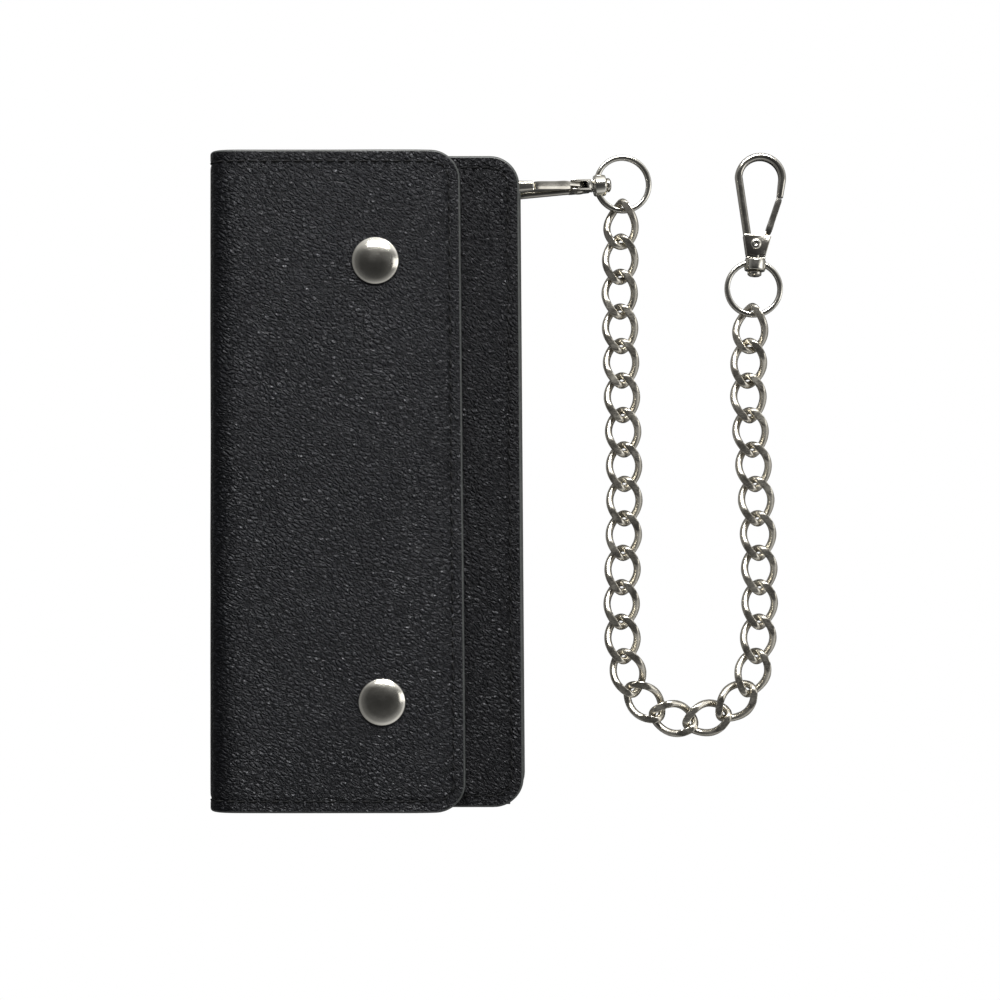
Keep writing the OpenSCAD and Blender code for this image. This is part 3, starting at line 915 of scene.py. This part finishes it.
class Wallet:
    """The leather body: a spine with two covers, the pocket panel, linings, divider, gussets and leaves."""

    COVER = 1.4
    LINING = 0.7
    SHOULDER = 4.2
    CAP_R = 6.3
    HOLE_R = 3.85
    BACK_SLANT = (0.0, 1.3)
    FLAP_SLANT = (-0.85, 0.8)

    def __init__(self, finishes: Finishes) -> None:
        """Reads the wallet's levels and edges from the frame."""
        self.finishes = finishes
        back, flap = box_mm("back_cover"), box_mm("flap_cover")
        spine = box_mm("spine_leather")
        self.spine_x = (spine[0].x + spine[1].x) / 2 + 0.45
        self.low_z, self.high_z = self.COVER / 2, flap[1].z - self.COVER / 2
        self.mouth_x, self.flap_x = back[1].x, flap[1].x
        self.back_half, self.flap_half = back[1].y, flap[1].y
        self.mouth_rise = back[1].z - self.COVER
        self.flap_fall = flap[1].z - flap[0].z - self.COVER
        caps = box_mm("snap_caps")
        middle, skew = (caps[0].x + caps[1].x) / 2, (caps[1].x - caps[0].x) / 2 - self.CAP_R
        snap_y = caps[1].y - self.CAP_R
        self.snaps = [(middle - skew, snap_y), (middle + skew, -snap_y)]
        self.mid_z = (self.low_z + self.high_z) / 2
        self.fold_x = joint("spine_fold")["pos_m"][0] / MM

    @staticmethod
    def _ease(share: float) -> float:
        """A soft step from 0 to 1."""
        t = min(1.0, max(0.0, share))
        return t * t * (3 - 2 * t)

    def _rise(self, x: float) -> float:
        """Height of the back's underside near the mouth."""
        return self.mouth_rise * self._ease((x - (self.mouth_x - 30)) / 16)

    def _fall(self, x: float) -> float:
        """Height that the flap loses towards its free edge."""
        return self.flap_fall * self._ease((x - (self.flap_x - 9)) / 9)

    def back_route(self) -> Route:
        """From the middle of the spine down and along the back to the mouth."""
        xs = np.linspace(self.mouth_x - 30, self.mouth_x + 4, 24)
        corners = [(self.spine_x, self.mid_z), (self.spine_x, self.low_z)]
        corners += [(x, self.low_z + self._rise(x)) for x in xs]
        return Route(corners, self.SHOULDER)

    def flap_route(self) -> Route:
        """From the middle of the spine up and along the front to the flap's free edge."""
        xs = np.linspace(self.flap_x - 9, self.flap_x + 4, 14)
        corners = [(self.spine_x, self.mid_z), (self.spine_x, self.high_z)]
        corners += [(x, self.high_z - self._fall(x)) for x in xs]
        return Route(corners, self.SHOULDER)

    def _bend(self, piece: Object, upper: bool) -> None:
        """Bakes a piece's placing into its mesh, alike for the spine's upper and lower fold."""
        if upper:
            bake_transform(piece)
        else:
            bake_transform(piece)

    def build_covers(self) -> None:
        """Makes the outer leather and its linings, in two halves that meet along the spine."""
        f = self.finishes
        back, flap = self.back_route(), self.flap_route()
        snaps = [(flap.reach_of(x), y, 0.12) for x, y in self.snaps]
        eyelet = box_mm("eyelet")
        middle = (eyelet[0] + eyelet[1]) / 2
        hole = (back.reach_of(middle.x), middle.y, self.HOLE_R)
        cover = Sheet(
            "outer_back", back, 0, back.reach_of(self.mouth_x), self.back_half, self.COVER,
            outside=-1, slant=self.BACK_SLANT, stitched=True, waves=0.25, seed=1.0, hole=hole,
        )
        front = Sheet(
            "outer_flap", flap, 0, flap.reach_of(self.flap_x), self.flap_half, self.COVER,
            slant=self.FLAP_SLANT, stitched=True, seed=2.0, presses=snaps,
        )
        drop = -(self.COVER + self.LINING) / 2 - 0.06
        back_lining = Sheet(
            "lining_back", back, 0, cover.end - 0.6, self.back_half - 0.6, self.LINING, level=drop,
            outside=-1, slant=self.BACK_SLANT, waves=0.25, seed=1.0, hole=hole,
        )
        flap_lining = Sheet(
            "lining_flap", flap, 0, front.end - 0.6, self.flap_half - 0.6, self.LINING, level=drop,
            slant=self.FLAP_SLANT, seed=2.0, presses=snaps,
        )
        jobs = (
            (cover, f.leather, f.flesh, False, Slot.LEATHER, ("back_cover",)),
            (front, f.leather, f.flesh, True, Slot.LEATHER, ("flap_cover", "spine_leather")),
            (back_lining, f.lining, f.lining, False, Slot.LINING, ("back_lining",)),
            (flap_lining, f.lining, f.lining, True, Slot.LINING, ("flap_lining",)),
        )
        for sheet, grain, flesh, upper, slot, nodes in jobs:
            piece = sheet.build(f, grain, flesh)
            self._bend(piece, upper)
            stand_for(piece, slot, *nodes)
        lined = self.LINING - drop - self.LINING / 2
        for sheet, upper, sinks in ((cover, False, 0.46), (front, True, 0.22)):
            thread = Seam(
                sheet, "stitching_" + sheet.name.split("_")[1], start=self.mid_z - 5, sinks=sinks, under=lined,
                clear_of=(hole[0], hole[1], 5.6),
            ).build(f)
            self._bend(thread, upper)
            stand_for(thread, Slot.LEATHER)

    def build_panel(self) -> None:
        """Makes the pocket panel that carries the studs, with its seam."""
        f = self.finishes
        low, high = box_mm("pocket_panel")
        z = (low.z + high.z) / 2
        route = Route([(low.x + 2, z), (self.mouth_x + 4, z)])
        end = route.reach_of(high.x)
        studs = [(route.reach_of(x), y, 0.0) for x, y in self.snaps]
        panel = Sheet(
            "pocket_panel_leather", route, 0, end, high.y, self.COVER, near_corner=1.5,
            slant=self.BACK_SLANT, stitched=True, waves=0.6, seed=3.0, presses=studs,
        )
        dress(panel.build(f, f.panel, f.flesh), "wallet", Slot.LEATHER, "pocket_panel")
        dress(Seam(panel, "stitching_panel", start=6.0).build(f), "wallet", Slot.LEATHER)

    def build_leaves(self) -> None:
        """Makes the divider and the card leaves as thin sheets with soft corners."""
        f = self.finishes
        names = ["bill_divider"] + [f"{side}_card_leaf_{i}" for side in ("body", "flap") for i in (1, 2, 3)]
        for name in names:
            low, high = box_mm(name)
            z, middle = (low.z + high.z) / 2, (low.y + high.y) / 2
            route = Route([(low.x + 2.5, z), (high.x, z)])
            leaf = Sheet(
                name + "_sheet", route, 0, route.length, (high.y - low.y) / 2, high.z - low.z,
                corner=4.0, near_corner=1.5, waves=0.1, seed=4.0,
            )
            piece = leaf.build(f, f.lining, f.lining)
            piece.data.transform(Matrix.Translation((0, middle * MM, 0)))
            body = "flap" if name.startswith("flap") else "wallet"
            dress(piece, body, Slot.LINING, name)
        for name in ("gusset_top", "gusset_bottom"):
            node = frame["nodes"][name]
            node.data.materials.clear()
            node.data.materials.append(f.gusset)
            LOG.info("%s keeps its shape", name)

    def build(self) -> None:
        """Makes every leather piece."""
        self.build_covers()
        self.build_panel()
        self.build_leaves()


# ---- metal on the leather ----


@dataclass
class Snaps:
    """The two press fasteners: domed caps and sockets in the flap, studs and posts in the panel."""

    POST = 1.6

    wallet: Wallet
    finishes: Finishes

    def _pair(self, node: str, style: str, body: str, slot: Slot, profile: Outline, steps: int = 72) -> None:
        """Turns a profile and sets one at each snap, riding on body."""
        shell = lathe(profile, steps)
        sets = [moved(shell, shift=(x, y, 0)) for x, y in self.wallet.snaps]
        finish = self.finishes.steel if slot is Slot.STEEL else self.finishes.nickel
        piece = make_piece(f"{node}_{style}", *together(*sets), [finish], crease=50)
        dress(piece, body, slot, node)

    def _cap(self) -> list:
        """A domed cap with a rolled rim, down to the end of its post."""
        low, high = box_mm("snap_caps")
        radius, post = Wallet.CAP_R, self.POST
        seat, top = self.wallet.high_z + Wallet.COVER / 2, high.z
        wide, arc, fall = radius * 0.965, 1.12, top - seat - 0.62
        dome = [
            (wide * math.sin(w), top - fall * (1 - math.cos(w)) / (1 - math.cos(arc)))
            for w in np.linspace(0, arc, 18)
        ]
        scale = wide / dome[-1][0]
        roll = [
            (radius - 0.34 + 0.34 * math.sin(w), seat + 0.30 + 0.34 * math.cos(w))
            for w in np.linspace(0.1, math.pi, 9)
        ]
        foot = [(radius - 1.2, seat - 0.02), (post, seat - 0.02), (post, low.z), (0, low.z)]
        return [(r * scale, z) for r, z in dome] + roll + foot

    def build(self) -> None:
        """Makes the four kinds of parts."""
        self._pair("snap_caps", "domed", "flap", Slot.NICKEL, self._cap(), 96)
        low, high = box_mm("snap_sockets")
        a, b = low.z, high.z
        ring = rounded([(4.9, b), (5.0, b - 0.75), (4.2, b - 1.15), (4.2, a), (2.4, a), (2.25, a + 0.4),
                        (2.25, b - 0.5)], 0.25, closed=False)
        self._pair("snap_sockets", "turned", "flap", Slot.NICKEL, [(0, b), *ring, (0, b - 0.5)])
        low, high = box_mm("snap_studs")
        a, b = low.z, high.z
        stud = rounded([(5, a), (5, a + 0.4), (2.6, a + 0.6), (1.8, a + 0.9), (1.8, a + 1.5), (2.1, a + 2),
                        (2.1, a + 2.4), (1.6, b)], 0.3)
        self._pair("snap_studs", "turned", "wallet", Slot.NICKEL, [(0, a), *stud, (0, b)])
        low, high = box_mm("snap_posts")
        a, b = low.z, high.z
        rivet = rounded([(4.5, a), (4.5, a + 0.45), (self.POST, a + 0.45), (self.POST, b)], 0.15)
        self._pair("snap_posts", "turned", "wallet", Slot.STEEL, [(0, a), *rivet, (0, b)])


@dataclass
class Eyelet:
    """The rolled eyelet in the back's corner and the washer that it is set against."""

    BORE = 3.3

    finishes: Finishes

    def _ring(self, node: str, style: str, section: Outline) -> None:
        """Turns a closed section round the eyelet's middle."""
        low, high = box_mm("eyelet")
        centre = ((low.x + high.x) / 2, (low.y + high.y) / 2, 0)
        ring = moved(lathe(section, 72, closed=True), shift=centre)
        piece = make_piece(f"{node}_{style}", *ring, [self.finishes.nickel], crease=50)
        dress(piece, "wallet", Slot.NICKEL, node)

    def build(self) -> None:
        """Makes the eyelet and its washer."""
        low, high = box_mm("eyelet")
        flange, bore = (high.x - low.x) / 2, self.BORE
        a, b, shoulder = low.z, high.z, low.z + 0.43
        self._ring("eyelet", "rolled", rounded(
            [(bore, a + 0.1), (bore + 0.5, a), (flange - 0.3, a + 0.15), (flange, shoulder),
             (bore + 0.45, shoulder), (bore + 0.45, b - 0.35), (bore + 1.1, b - 0.35),
             (bore + 1.0, b), (bore + 0.35, b), (bore, b - 0.3)], 0.18))
        low, high = box_mm("eyelet_washer")
        corners = [(bore + 0.5, low.z), (flange, low.z), (flange, high.z), (bore + 0.5, high.z)]
        self._ring("eyelet_washer", "flat", rounded(corners, 0.12))


# ---- hooks ----


def frame_from(origin: Vector, x: Vector, y: Vector, z: Vector) -> Matrix:
    """A frame with the given origin and axes."""
    turn = Matrix((x, y, z)).transposed().to_4x4()
    turn.translation = origin
    return turn


@dataclass
class SwivelHook:
    """A cast snap hook with its gate, pin, spring and swivel eye.

    Lengths run along the hook from the centre of the eye's ring.
    """

    RING_STEPS = 96

    side: str
    finishes: Finishes
    thick: float = 3.0
    bar: float = 2.05
    bow: float = 6.1
    bow_y: float = 31.2
    neck: float = 9.2
    base: float = 15.0
    neck_half: float = 2.65
    neck_t: float = 2.6
    boss: tuple[float, float] = (5.0, 8.15)
    boss_r: float = 2.95
    ring_r: float = 8.1
    ring_t: float = 1.45
    ring_w: float = 2.0
    stem_r: float = 1.5
    pivot: tuple[float, float] = (-0.3, 12.4)
    pin_r: float = 0.8
    gate_start: tuple[float, float] = (2.95, 15.6)
    gate_tip: tuple[float, float] = (5.6, 25.6)
    gate_eye_r: float = 1.75
    slot: float = 0.95

    def places(self) -> tuple[Matrix, Matrix]:
        """Frames of the casting and of the eye, from the joints."""
        swivel, gate = joint(self.side + "_swivel"), joint(self.side + "_gate_swing")
        y, z = Vector(swivel["axis"]).normalized(), Vector(gate["axis"]).normalized()
        origin = Vector(swivel["pos_m"]) - y * 6.0 * MM
        level = y.cross(Vector((0, 0, 1))).normalized()
        return frame_from(origin, y.cross(z), y, z), frame_from(origin, level, y, level.cross(y))

    def _section(self, width: float, height: float, power: float = 3.4, steps: int = 20) -> Array:
        """A soft-cornered bar's section."""
        turns = (np.arange(steps) + 0.5) * TURN / steps
        c, s = np.cos(turns), np.sin(turns)
        size = (np.abs(c) ** power + np.abs(s) ** power) ** (-1 / power)
        return np.stack([c * size * width / 2, s * size * height / 2], 1)

    def _bow_line(self) -> Array:
        """The middle of the bar: up the straight leg, round the bow and down to the nose."""
        turns = np.linspace(math.pi, -0.12, 30)
        bow = [(self.bow * math.cos(w), self.bow_y + self.bow * math.sin(w)) for w in turns]
        foot_x, foot_y = -1.75, 10.4
        leg = [
            (foot_x - t * (foot_x + self.bow), foot_y + t * (self.bow_y - foot_y))
            for t in np.linspace(0, 0.97, 16)
        ]
        nose = (self.gate_tip[0] + 0.15, self.gate_tip[1] + 0.62)
        tail = [(bow[-1][0] + t * (nose[0] - bow[-1][0]), bow[-1][1] + t * (nose[1] - bow[-1][1]))
                for t in (0.35, 0.7, 1.0)]
        flat = np.array(leg + bow + tail)
        return np.c_[flat, np.zeros(len(flat))]

    def casting(self) -> Shell:
        """The bar, forked base, neck and stem."""
        line = self._bow_line()
        n = len(line)

        def section(i: int) -> Array:
            """The bar thins towards its nose."""
            thin = 1 - 0.16 * max(0.0, (i - (n - 4)) / 3)
            return self._section(self.bar, self.thick) * [thin, thin]

        bar = tube(line, section, UP, closed=False)
        half, slot, w = self.thick / 2, self.slot, self.neck_half
        foot = [(-w, self.neck), (w, self.neck)]
        cheek = rounded([*foot, (3.9, self.base), (-3.8, self.base)], 0.55)
        web = rounded([*foot, (2.9, 10.45), (-2.3, 10.45), (-2.45, 14.2), (-3.5, 14.2)], 0.2)
        cheeks = [plate(cheek, slot, half, 0.16), plate(cheek, -half, -slot, 0.16)]
        block = plate(web, -slot - 0.05, slot + 0.05, 0.05)
        low, top = self.boss[1] + 0.12, self.neck + 0.1
        outline = rounded(
            [(-w, low), (w, low), (w, low + 0.3), (w - 0.4, low + 0.4), (w - 0.4, top - 0.45), (w, top - 0.35),
             (w, top), (-w, top), (-w, top - 0.35), (0.4 - w, top - 0.45), (0.4 - w, low + 0.4),
             (-w, low + 0.3)], 0.1)
        neck = plate(outline, -self.neck_t / 2, self.neck_t / 2, 0.12)
        spin = Matrix.Rotation(-math.pi / 2, 3, "X")
        end = self.boss[0]
        stem = rounded([(1.3, end - 1.6), (1.95, end - 1.15), (1.95, end - 0.4), (1.5, end - 0.1),
                        (self.stem_r, top)], 0.14)
        stem = [(0, end - 1.6), *stem, (0, top)]
        return together(bar, *cheeks, block, neck, moved(lathe(stem, 40), spin))

    def gate(self) -> Shell:
        """The gate: a solid lug at the pin and a flat bar, thicker under the thumb, thinner at the tip."""
        px, py = self.pivot
        a, b = np.array(self.gate_start), np.array(self.gate_tip)
        d = (b - a) / np.linalg.norm(b - a)
        line = np.array([a + d * t for t in np.linspace(0, np.linalg.norm(b - a), 14)])
        widths = [1.5, 1.7, 1.8, 1.8, 1.72, *[1.7] * 7, 1.68, 1.5]
        rises = [2.2, 2.4, 2.5, 2.45, 2.35, *[2.3] * 7, 2.25, 2.1]
        line = np.c_[line, np.zeros(len(line))]
        bar = tube(line, lambda i: self._section(widths[i], rises[i], 9.0), UP, closed=False)
        r = self.gate_eye_r
        lug = [(px + r * math.cos(w), py + r * math.sin(w)) for w in np.linspace(0.9, TURN - 0.2, 30)]
        lug += [(a[0] + 0.75, a[1] - 0.1), (a[0] + 0.9, a[1] + 1.1), (a[0] - 0.55, a[1] + 1.1)]
        return together(bar, plate(lug, -0.85, 0.15, 0.1))

    def pin(self) -> Shell:
        """A rivet with two low dimpled heads."""
        h = self.thick / 2
        rises = ((0, 0.30), (0.45, 0.34), (0.75, 0.46), (1.15, 0.40), (1.42, 0.18), (1.5, 0.01))
        head = [(r, h + rise) for r, rise in rises]
        side = [*head, (self.pin_r, h + 0.01)]
        return moved(lathe([*side, *((r, -z) for r, z in side[::-1])], 40), shift=(*self.pivot, 0))

    def spring(self) -> Shell:
        """A torsion spring of two turns of fine wire round the pin."""
        turns, wire, radius = 2.0, 0.13, 1.2
        t = np.linspace(0, 1, 60)
        w = t * turns * TURN
        line = np.stack([radius * np.cos(w), radius * np.sin(w), 0.36 + 0.36 * t], 1)
        coil = tube(line, lambda i: circle(8, wire), UP, closed=False)
        return moved(coil, shift=(*self.pivot, 0))

    def eye(self) -> Shell:
        """The ring and the boss that the stem turns in."""
        inner, half = self.ring_r - self.ring_t, self.ring_w / 2
        section = rounded([(inner, -half), (self.ring_r, -half), (self.ring_r, half), (inner, half)], 0.62, 5)
        points, _ = lathe(section, self.RING_STEPS, closed=True)
        low, high = self.boss
        bore = self.stem_r + 0.06
        r = self.boss_r
        wall = rounded([(bore, low), (r - 0.15, low), (r, low + 0.5), (r, high - 0.35), (r - 0.2, high),
                        (bore, high)], 0.2)
        boss = moved(lathe(wall, 56, closed=True), Matrix.Rotation(-math.pi / 2, 3, "X"))
        return self._cut_ring(points), boss

    def _cut_ring(self, points: Array) -> Shell:
        """Opens the ring where the boss stands, so that the stem runs free."""
        mid = self.ring_r - self.ring_t / 2
        gap = math.asin((self.stem_r + 0.5) / mid)
        steps = self.RING_STEPS
        rows = len(points) // steps
        off_boss = [abs((j * TURN / steps - math.pi / 2 + math.pi) % TURN - math.pi) for j in range(steps)]
        keep = [j for j in range(steps) if off_boss[j] > gap]
        start = next(k for k in range(len(keep)) if (keep[k] - keep[k - 1]) % steps > 1)
        order = keep[start:] + keep[:start]
        cut = np.vstack([[points[r * steps + j] for r in range(rows)] for j in order])
        return cut, quads(len(order), rows, False)

    def build(self) -> None:
        """Makes the hook's five pieces."""
        f, side = self.finishes, self.side
        cast, eye = self.places()
        body = side + "_hook"
        jobs = (
            ("hook_casting", self.casting(), f.casting, cast, body, Slot.NICKEL, "hook"),
            ("gate_bar", self.gate(), f.casting, cast, side + "_gate", Slot.NICKEL, "gate"),
            ("gate_rivet", self.pin(), f.nickel, cast, body, Slot.STEEL, "gate_pin"),
            ("gate_coil", self.spring(), f.steel, cast, body, Slot.STEEL, "gate_spring"),
            ("swivel_eye", together(*self.eye()), f.nickel, eye, side + "_eye", Slot.NICKEL, "eye"),
        )
        for name, shell, finish, place, rides, slot, node in jobs:
            piece = make_piece(f"{side}_{name}", *shell, [finish], place=place, crease=38)
            dress(piece, rides, slot, f"{side}_{node}")


# ---- chain ----


@dataclass
class CurbChain:
    """The curb chain: twisted oval links, ground flat above and below."""

    finishes: Finishes
    half_width: float = 4.1
    half_length: float = 6.12
    wire: float = 2.05
    twist: float = 45.0
    flat: float = 1.9
    rings: int = 72
    sides: int = 20
    soft: float = 0.10
    # Pitch and roll of the links next to each ring, from the ring outwards.
    leans: tuple[tuple[float, float], ...] = ((2.6, 25.3), (8.5, 8.3))

    def _wire(self, t: Array) -> Array:
        """Points of the wire's middle."""
        f = math.radians(self.twist) * np.sin(t)
        return np.stack(
            [self.half_width * np.cos(t) * np.cos(f), self.half_length * np.sin(t),
             self.half_width * np.cos(t) * np.sin(f)], -1
        )

    def link_mesh(self) -> Shell:
        """One link in its own frame."""
        t = np.arange(self.rings) * TURN / self.rings
        f = math.radians(self.twist) * np.sin(t)
        up = np.stack([-np.sin(f), np.zeros_like(f), np.cos(f)], -1)
        ring = circle(self.sides, self.wire / 2, 0.5)
        points, faces = tube(self._wire(t), lambda i: ring, up, closed=True)
        points[:, 2] = self._ground(points[:, 2])
        return points, faces

    def _ground(self, z: Array) -> Array:
        """Grinds the link flat, with a slightly softened edge."""
        over = np.abs(z) - self.flat
        trimmed = self.flat - np.where(
            over > self.soft, 0, np.where(over < -self.soft, -over, (self.soft - over) ** 2 / (4 * self.soft))
        )
        return np.sign(z) * trimmed

    def build(self) -> None:
        """Makes each link where its node lies, turned as its two joints say."""
        shell = self.link_mesh()
        names = sorted(n for n in frame["nodes"] if n.startswith("link_"))
        count = len(names)
        pivots = [Vector(joint(f"chain_joint_{k + 1:02d}")["pos_m"]) for k in range(count + 1)]
        for k, name in enumerate(names):
            low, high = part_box(name)
            ahead = pivots[k + 1] - pivots[k]
            yaw = math.atan2(ahead.x, -ahead.y)
            from_end = min(k, count - 1 - k)
            side = 1 if k < count / 2 else -1
            pitch, roll = self.leans[from_end] if from_end < len(self.leans) else (0.0, 0.0)
            turn = (
                Matrix.Rotation(yaw, 4, "Z")
                @ Matrix.Rotation(math.radians(side * pitch), 4, "X")
                @ Matrix.Rotation(math.radians(-side * roll), 4, "Y")
            )
            place = Matrix.Translation((low + high) / 2) @ turn
            piece = make_piece("curb_" + name, *shell, [self.finishes.chain], place=place, crease=32)
            dress(piece, name, Slot.CHAIN, name)


# ---- studio ----


class Studio:
    """Camera, floor and lights."""

    EYE = Vector((36.9, -5.0, 467.0))
    FOCAL = 1.661
    SENSOR = 36.0
    AIM = Vector((0.03, 0.0, 0.0))
    FLOOR_HALF = 4.0
    TINT = (1.0, 0.99, 0.97)

    def camera(self) -> None:
        """Looks straight down, with the spine to the left."""
        data = bpy.data.cameras.new("camera")
        data.sensor_width, data.lens = self.SENSOR, self.SENSOR * self.FOCAL
        data.clip_start = 0.01
        made = placed("camera", data)
        made.location = self.EYE * MM
        bpy.context.scene.camera = made

    def floor(self) -> None:
        """A pale floor that reads as pure white and throws back only a soft light."""
        mesh = bpy.data.meshes.new("floor")
        half = self.FLOOR_HALF
        corners = [(-half, -half, 0), (half, -half, 0), (half, half, 0), (-half, half, 0)]
        mesh.from_pydata(corners, [], [(0, 1, 2, 3)])
        made = placed("floor", mesh)
        g = Graph(bpy.data.materials.new("pale_floor"))
        g.set(Base_Color=(0.20, 0.20, 0.20, 1), Roughness=0.9)
        white = g.node("Emission", Color=(1, 1, 1, 1), Strength=1.0)
        pick = g.node("LightPath").outputs["Is Camera Ray"]
        mixed = g.node("MixShader", {0: pick, 1: g.shader.outputs[0], 2: white.outputs[0]})
        out = next(n for n in g.tree.nodes if n.type == "OUTPUT_MATERIAL")
        g.tree.links.new(mixed.outputs[0], out.inputs["Surface"])
        mesh.materials.append(g.owner)

    def sky(self) -> None:
        """A room that is bright at the sides, brightest at the back, and dimmer overhead."""
        g = Graph(bpy.data.worlds.new("studio"), "Background")
        bpy.context.scene.world = g.owner
        way = g.node("SeparateXYZ", {0: g.node("TexCoord").outputs["Generated"]}).outputs
        rise = g.curve(way["Z"], (0.0, 0.75), (0.35, 0.85), (0.62, 0.34), (0.85, 0.10), (1.0, 0.05))
        back = g.curve(way["Y"], (0.0, 0.0), (0.4, 0.05), (0.7, 0.8), (1.0, 1.0))
        both = g.node("MixRGB", {1: rise, 2: back}, blend_type="ADD")
        both.inputs[0].default_value = 1.0
        g.join("Color", both.outputs[0])
        across = g.node("Math", {0: way["X"]}, operation="MULTIPLY_ADD")
        across.inputs[1].default_value = across.inputs[2].default_value = 0.5
        g.join("Strength", g.curve(across.outputs[0], (0.0, 0.3), (0.8, 0.95), (1.0, 1.0)))

    def lamp(self, name: str, at: tuple, size: tuple, power: float) -> None:
        """A soft box that looks at the middle of the object."""
        data = bpy.data.lights.new(name, "AREA")
        data.shape, data.size, data.size_y = "RECTANGLE", size[0], size[1]
        data.energy, data.color = power, self.TINT
        made = placed(name, data)
        made.location = at
        made.rotation_euler = (self.AIM - Vector(at)).to_track_quat("-Z", "Y").to_euler()

    def build(self) -> None:
        """Sets the stage."""
        self.camera()
        self.floor()
        self.sky()
        self.lamp("soft_box_back", (0.1, 0.95, 0.85), (0.9, 0.3), 26.0)
        self.lamp("soft_box_right", (1.1, 0.1, 0.7), (0.5, 0.9), 2.0)
        bpy.context.scene.view_settings.view_transform = "Standard"


def main() -> None:
    """Builds the stage, then every piece."""
    logging.basicConfig(level=logging.INFO, format="%(name)s %(message)s")
    Studio().build()
    finishes = Finishes()
    wallet = Wallet(finishes)
    wallet.build()
    Snaps(wallet, finishes).build()
    Eyelet(finishes).build()
    for side in ("wallet", "belt"):
        SwivelHook(side, finishes).build()
    CurbChain(finishes).build()


if __name__ == "__main__":
    main()
